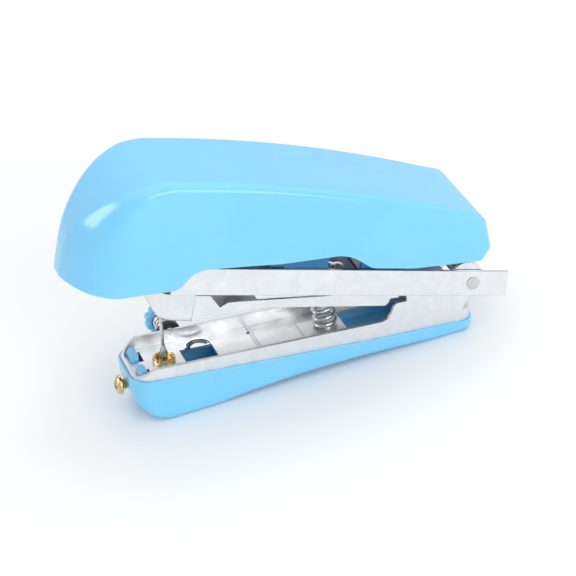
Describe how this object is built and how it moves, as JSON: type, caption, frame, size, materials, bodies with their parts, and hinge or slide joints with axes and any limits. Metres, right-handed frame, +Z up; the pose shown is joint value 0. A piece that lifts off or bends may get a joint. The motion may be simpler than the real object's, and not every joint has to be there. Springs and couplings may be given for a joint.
{
  "type": "handheld mini sewing machine",
  "caption": "Palm-sized stapler-style sewing machine: hinged arm under a rounded cover, sprung presser plate and looper, and a needle standing in the nose of the base.",
  "frame": {"origin": "on the table plane, straight under the needle's root, in the middle of the width", "axes": "+X towards the hinge at the rear, +Y towards the tension knob, +Z up from the table the base rests on"},
  "size_m": [0.1033, 0.0336, 0.0617],
  "materials": {
    "blue_plastic": "glossy moulded plastic",
    "plated_steel": "bright zinc plate over pressed sheet",
    "bright_steel": "polished",
    "spring_wire": "bright drawn wire",
    "brass": "machined",
    "black_rubber": "matt"
  },
  "bodies": {
    "base": {"base_cover": "blue_plastic", "lower_frame": "plated_steel", "base_screws": "bright_steel", "needle_collet": "brass", "needle": "bright_steel", "needle_set_screw": "brass", "pivot_pin": "bright_steel", "pivot_spacers": "bright_steel", "drive_cam": "bright_steel", "thread_guide": "bright_steel", "spring_seat": "plated_steel", "main_spring": "spring_wire", "spool_spindle": "bright_steel", "tension_washer": "black_rubber", "tension_spring": "spring_wire"},
    "tension_knob": {"tension_knob": "blue_plastic"},
    "arm": {"upper_arm": "plated_steel", "spring_bridge": "plated_steel", "top_cover": "blue_plastic", "cover_ribs": "blue_plastic", "cover_screws": "bright_steel", "looper_bracket": "plated_steel", "looper_pin": "bright_steel", "presser_spring": "spring_wire"},
    "presser": {"presser_frame": "plated_steel", "presser_foot": "plated_steel"},
    "looper": {"looper": "bright_steel"},
    "push_rod": {"push_rod": "plated_steel"}
  },
  "joints": [
    {"name": "arm_hinge", "type": "hinge", "parent": "base", "child": "arm", "pos_m": [0.07404, 0, 0.01254], "axis": [0, -1, 0], "range_deg": [0, 12.9], "stiffness_Nm_per_rad": 1, "springref_deg": -10.03, "deforming": ["main_spring", "presser_spring"]},
    {"name": "presser_hinge", "type": "hinge", "parent": "base", "child": "presser", "pos_m": [0.07404, 0, 0.01254], "axis": [0, -1, 0], "range_deg": [0, 9.7]},
    {"name": "looper_hinge", "type": "hinge", "parent": "arm", "child": "looper", "pos_m": [0.01437, 0, 0.03754], "axis": [0, 1, 0], "range_deg": [0, 22.9]},
    {"name": "push_rod_slide", "type": "slide", "parent": "arm", "child": "push_rod", "axis": [0.9494, 0, -0.314], "range_m": [0, 0.0016]},
    {"name": "knob_turn", "type": "hinge", "parent": "base", "child": "tension_knob", "pos_m": [0.00413, 0.0157, 0.01152], "axis": [0, 1, 0], "continuous": true}
  ],
  "couplings": [
    {"joint": "presser_hinge", "follows": "arm_hinge", "ratio": 0.7442},
    {"joint": "looper_hinge", "follows": "arm_hinge", "ratio": 1.767},
    {"joint": "push_rod_slide", "follows": "arm_hinge", "m_per_rad": 0.00702}
  ]
}
